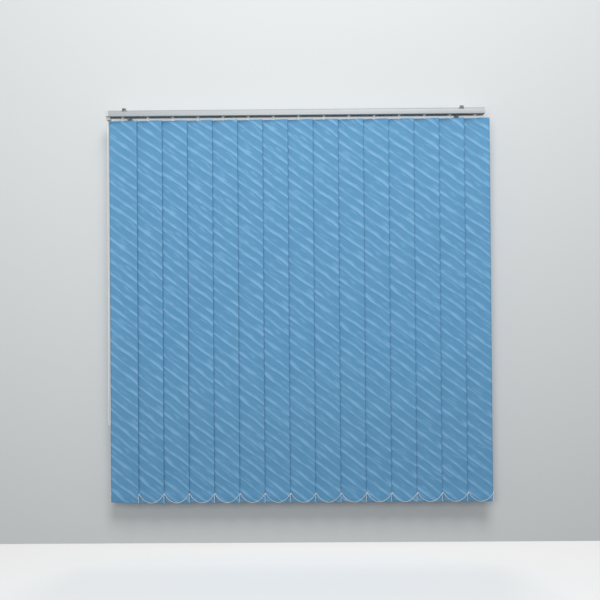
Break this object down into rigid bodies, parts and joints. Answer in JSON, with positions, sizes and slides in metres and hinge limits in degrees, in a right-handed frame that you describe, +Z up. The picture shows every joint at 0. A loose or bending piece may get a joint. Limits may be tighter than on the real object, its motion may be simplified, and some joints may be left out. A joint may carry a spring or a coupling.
{
  "type": "vertical blind",
  "caption": "Vertical blind: cloth louvres hang from carriers in an aluminium head rail on wall brackets, turn by a bead chain and rod, and draw to one side",
  "frame": {"origin": "on the wall plane, at the middle of the four wall screw holes of the two brackets", "axes": "+X to the viewer's right along the rail, +Y into the wall, +Z up"},
  "size_m": [1.7077, 0.1168, 1.749],
  "materials": {
    "rail_aluminium": "satin",
    "rod_aluminium": "satin",
    "white_plastic": "satin",
    "carrier_plastic": "satin",
    "hanger_plastic": "satin",
    "chain_plastic": "gloss",
    "bracket_steel": "satin",
    "clip_steel": "satin",
    "louvre_cloth": "matte"
  },
  "bodies": {
    "rail_body": {"headrail": "rail_aluminium", "control_housing": "white_plastic", "idle_end_cap": "white_plastic", "tilt_chain": "chain_plastic", "wall_bracket_left": "bracket_steel", "wall_bracket_right": "bracket_steel", "rail_clip_left": "clip_steel", "rail_clip_right": "clip_steel", "clip_bolts": "bracket_steel", "carrier_01": "carrier_plastic"},
    "tilt_drive": {"tilt_rod": "rod_aluminium", "chain_wheel": "white_plastic"},
    "carrier_body_02": {"carrier_02": "carrier_plastic"},
    "carrier_body_03": {"carrier_03": "carrier_plastic"},
    "carrier_body_04": {"carrier_04": "carrier_plastic"},
    "carrier_body_05": {"carrier_05": "carrier_plastic"},
    "carrier_body_06": {"carrier_06": "carrier_plastic"},
    "carrier_body_07": {"carrier_07": "carrier_plastic"},
    "carrier_body_08": {"carrier_08": "carrier_plastic"},
    "carrier_body_09": {"carrier_09": "carrier_plastic"},
    "carrier_body_10": {"carrier_10": "carrier_plastic"},
    "carrier_body_11": {"carrier_11": "carrier_plastic"},
    "carrier_body_12": {"carrier_12": "carrier_plastic"},
    "carrier_body_13": {"carrier_13": "carrier_plastic"},
    "carrier_body_14": {"carrier_14": "carrier_plastic"},
    "carrier_body_15": {"carrier_15": "carrier_plastic"},
    "louvre_body_01": {"louvre_01": "louvre_cloth", "louvre_fittings_01": "hanger_plastic"},
    "louvre_body_02": {"louvre_02": "louvre_cloth", "louvre_fittings_02": "hanger_plastic"},
    "louvre_body_03": {"louvre_03": "louvre_cloth", "louvre_fittings_03": "hanger_plastic"},
    "louvre_body_04": {"louvre_04": "louvre_cloth", "louvre_fittings_04": "hanger_plastic"},
    "louvre_body_05": {"louvre_05": "louvre_cloth", "louvre_fittings_05": "hanger_plastic"},
    "louvre_body_06": {"louvre_06": "louvre_cloth", "louvre_fittings_06": "hanger_plastic"},
    "louvre_body_07": {"louvre_07": "louvre_cloth", "louvre_fittings_07": "hanger_plastic"},
    "louvre_body_08": {"louvre_08": "louvre_cloth", "louvre_fittings_08": "hanger_plastic"},
    "louvre_body_09": {"louvre_09": "louvre_cloth", "louvre_fittings_09": "hanger_plastic"},
    "louvre_body_10": {"louvre_10": "louvre_cloth", "louvre_fittings_10": "hanger_plastic"},
    "louvre_body_11": {"louvre_11": "louvre_cloth", "louvre_fittings_11": "hanger_plastic"},
    "louvre_body_12": {"louvre_12": "louvre_cloth", "louvre_fittings_12": "hanger_plastic"},
    "louvre_body_13": {"louvre_13": "louvre_cloth", "louvre_fittings_13": "hanger_plastic"},
    "louvre_body_14": {"louvre_14": "louvre_cloth", "louvre_fittings_14": "hanger_plastic"},
    "louvre_body_15": {"louvre_15": "louvre_cloth", "louvre_fittings_15": "hanger_plastic"},
    "front_chain_body": {"front_bottom_chain": "chain_plastic"},
    "rear_chain_body": {"rear_bottom_chain": "chain_plastic"}
  },
  "joints": [
    {"name": "carrier_15_slide", "type": "slide", "parent": "rail_body", "child": "carrier_body_15", "axis": [-1, 0, 0], "range_m": [0, 1.19], "deforming": ["front_bottom_chain", "rear_bottom_chain"]},
    {"name": "carrier_02_slide", "type": "slide", "parent": "rail_body", "child": "carrier_body_02", "axis": [-1, 0, 0], "range_m": [0, 0.085]},
    {"name": "carrier_03_slide", "type": "slide", "parent": "rail_body", "child": "carrier_body_03", "axis": [-1, 0, 0], "range_m": [0, 0.17]},
    {"name": "carrier_04_slide", "type": "slide", "parent": "rail_body", "child": "carrier_body_04", "axis": [-1, 0, 0], "range_m": [0, 0.255]},
    {"name": "carrier_05_slide", "type": "slide", "parent": "rail_body", "child": "carrier_body_05", "axis": [-1, 0, 0], "range_m": [0, 0.34]},
    {"name": "carrier_06_slide", "type": "slide", "parent": "rail_body", "child": "carrier_body_06", "axis": [-1, 0, 0], "range_m": [0, 0.425]},
    {"name": "carrier_07_slide", "type": "slide", "parent": "rail_body", "child": "carrier_body_07", "axis": [-1, 0, 0], "range_m": [0, 0.51]},
    {"name": "carrier_08_slide", "type": "slide", "parent": "rail_body", "child": "carrier_body_08", "axis": [-1, 0, 0], "range_m": [0, 0.595]},
    {"name": "carrier_09_slide", "type": "slide", "parent": "rail_body", "child": "carrier_body_09", "axis": [-1, 0, 0], "range_m": [0, 0.68]},
    {"name": "carrier_10_slide", "type": "slide", "parent": "rail_body", "child": "carrier_body_10", "axis": [-1, 0, 0], "range_m": [0, 0.765]},
    {"name": "carrier_11_slide", "type": "slide", "parent": "rail_body", "child": "carrier_body_11", "axis": [-1, 0, 0], "range_m": [0, 0.85]},
    {"name": "carrier_12_slide", "type": "slide", "parent": "rail_body", "child": "carrier_body_12", "axis": [-1, 0, 0], "range_m": [0, 0.935]},
    {"name": "carrier_13_slide", "type": "slide", "parent": "rail_body", "child": "carrier_body_13", "axis": [-1, 0, 0], "range_m": [0, 1.02]},
    {"name": "carrier_14_slide", "type": "slide", "parent": "rail_body", "child": "carrier_body_14", "axis": [-1, 0, 0], "range_m": [0, 1.105]},
    {"name": "louvre_01_tilt", "type": "hinge", "parent": "rail_body", "child": "louvre_body_01", "pos_m": [-0.7582, -0.09, 0], "axis": [0, 0, -1], "range_deg": [0, 160]},
    {"name": "louvre_02_tilt", "type": "hinge", "parent": "carrier_body_02", "child": "louvre_body_02", "pos_m": [-0.6462, -0.09, 0], "axis": [0, 0, -1], "range_deg": [0, 160]},
    {"name": "louvre_03_tilt", "type": "hinge", "parent": "carrier_body_03", "child": "louvre_body_03", "pos_m": [-0.5342, -0.09, 0], "axis": [0, 0, -1], "range_deg": [0, 160]},
    {"name": "louvre_04_tilt", "type": "hinge", "parent": "carrier_body_04", "child": "louvre_body_04", "pos_m": [-0.4222, -0.09, 0], "axis": [0, 0, -1], "range_deg": [0, 160]},
    {"name": "louvre_05_tilt", "type": "hinge", "parent": "carrier_body_05", "child": "louvre_body_05", "pos_m": [-0.3102, -0.09, 0], "axis": [0, 0, -1], "range_deg": [0, 160]},
    {"name": "louvre_06_tilt", "type": "hinge", "parent": "carrier_body_06", "child": "louvre_body_06", "pos_m": [-0.1982, -0.09, 0], "axis": [0, 0, -1], "range_deg": [0, 160]},
    {"name": "louvre_07_tilt", "type": "hinge", "parent": "carrier_body_07", "child": "louvre_body_07", "pos_m": [-0.0862, -0.09, 0], "axis": [0, 0, -1], "range_deg": [0, 160]},
    {"name": "louvre_08_tilt", "type": "hinge", "parent": "carrier_body_08", "child": "louvre_body_08", "pos_m": [0.0258, -0.09, 0], "axis": [0, 0, -1], "range_deg": [0, 160]},
    {"name": "louvre_09_tilt", "type": "hinge", "parent": "carrier_body_09", "child": "louvre_body_09", "pos_m": [0.1378, -0.09, 0], "axis": [0, 0, -1], "range_deg": [0, 160]},
    {"name": "louvre_10_tilt", "type": "hinge", "parent": "carrier_body_10", "child": "louvre_body_10", "pos_m": [0.2498, -0.09, 0], "axis": [0, 0, -1], "range_deg": [0, 160]},
    {"name": "louvre_11_tilt", "type": "hinge", "parent": "carrier_body_11", "child": "louvre_body_11", "pos_m": [0.3618, -0.09, 0], "axis": [0, 0, -1], "range_deg": [0, 160]},
    {"name": "louvre_12_tilt", "type": "hinge", "parent": "carrier_body_12", "child": "louvre_body_12", "pos_m": [0.4738, -0.09, 0], "axis": [0, 0, -1], "range_deg": [0, 160]},
    {"name": "louvre_13_tilt", "type": "hinge", "parent": "carrier_body_13", "child": "louvre_body_13", "pos_m": [0.5858, -0.09, 0], "axis": [0, 0, -1], "range_deg": [0, 160]},
    {"name": "louvre_14_tilt", "type": "hinge", "parent": "carrier_body_14", "child": "louvre_body_14", "pos_m": [0.6978, -0.09, 0], "axis": [0, 0, -1], "range_deg": [0, 160]},
    {"name": "louvre_15_tilt", "type": "hinge", "parent": "carrier_body_15", "child": "louvre_body_15", "pos_m": [0.8098, -0.09, 0], "axis": [0, 0, -1], "range_deg": [0, 160]},
    {"name": "tilt_rod_turn", "type": "hinge", "parent": "rail_body", "child": "tilt_drive", "pos_m": [-0.8247, -0.09, 0.0082], "axis": [1, 0, 0], "range_deg": [0, 1600]},
    {"name": "front_chain_swing", "type": "hinge", "parent": "louvre_body_01", "child": "front_chain_body", "pos_m": [-0.6925, -0.10059, 0], "axis": [0, 0, -1], "range_deg": [-160, 0]},
    {"name": "rear_chain_swing", "type": "hinge", "parent": "louvre_body_01", "child": "rear_chain_body", "pos_m": [-0.8239, -0.07941, 0], "axis": [0, 0, -1], "range_deg": [-160, 0]}
  ],
  "couplings": [
    {"joint": "carrier_02_slide", "follows": "carrier_15_slide", "ratio": 0.071429},
    {"joint": "carrier_03_slide", "follows": "carrier_15_slide", "ratio": 0.14286},
    {"joint": "carrier_04_slide", "follows": "carrier_15_slide", "ratio": 0.21429},
    {"joint": "carrier_05_slide", "follows": "carrier_15_slide", "ratio": 0.28571},
    {"joint": "carrier_06_slide", "follows": "carrier_15_slide", "ratio": 0.35714},
    {"joint": "carrier_07_slide", "follows": "carrier_15_slide", "ratio": 0.42857},
    {"joint": "carrier_08_slide", "follows": "carrier_15_slide", "ratio": 0.5},
    {"joint": "carrier_09_slide", "follows": "carrier_15_slide", "ratio": 0.57143},
    {"joint": "carrier_10_slide", "follows": "carrier_15_slide", "ratio": 0.64286},
    {"joint": "carrier_11_slide", "follows": "carrier_15_slide", "ratio": 0.71429},
    {"joint": "carrier_12_slide", "follows": "carrier_15_slide", "ratio": 0.78571},
    {"joint": "carrier_13_slide", "follows": "carrier_15_slide", "ratio": 0.85714},
    {"joint": "carrier_14_slide", "follows": "carrier_15_slide", "ratio": 0.92857},
    {"joint": "louvre_02_tilt", "follows": "louvre_01_tilt", "ratio": 1},
    {"joint": "louvre_03_tilt", "follows": "louvre_01_tilt", "ratio": 1},
    {"joint": "louvre_04_tilt", "follows": "louvre_01_tilt", "ratio": 1},
    {"joint": "louvre_05_tilt", "follows": "louvre_01_tilt", "ratio": 1},
    {"joint": "louvre_06_tilt", "follows": "louvre_01_tilt", "ratio": 1},
    {"joint": "louvre_07_tilt", "follows": "louvre_01_tilt", "ratio": 1},
    {"joint": "louvre_08_tilt", "follows": "louvre_01_tilt", "ratio": 1},
    {"joint": "louvre_09_tilt", "follows": "louvre_01_tilt", "ratio": 1},
    {"joint": "louvre_10_tilt", "follows": "louvre_01_tilt", "ratio": 1},
    {"joint": "louvre_11_tilt", "follows": "louvre_01_tilt", "ratio": 1},
    {"joint": "louvre_12_tilt", "follows": "louvre_01_tilt", "ratio": 1},
    {"joint": "louvre_13_tilt", "follows": "louvre_01_tilt", "ratio": 1},
    {"joint": "louvre_14_tilt", "follows": "louvre_01_tilt", "ratio": 1},
    {"joint": "louvre_15_tilt", "follows": "louvre_01_tilt", "ratio": 1},
    {"joint": "tilt_rod_turn", "follows": "louvre_01_tilt", "ratio": 10},
    {"joint": "front_chain_swing", "follows": "louvre_01_tilt", "ratio": -1},
    {"joint": "rear_chain_swing", "follows": "louvre_01_tilt", "ratio": -1}
  ]
}
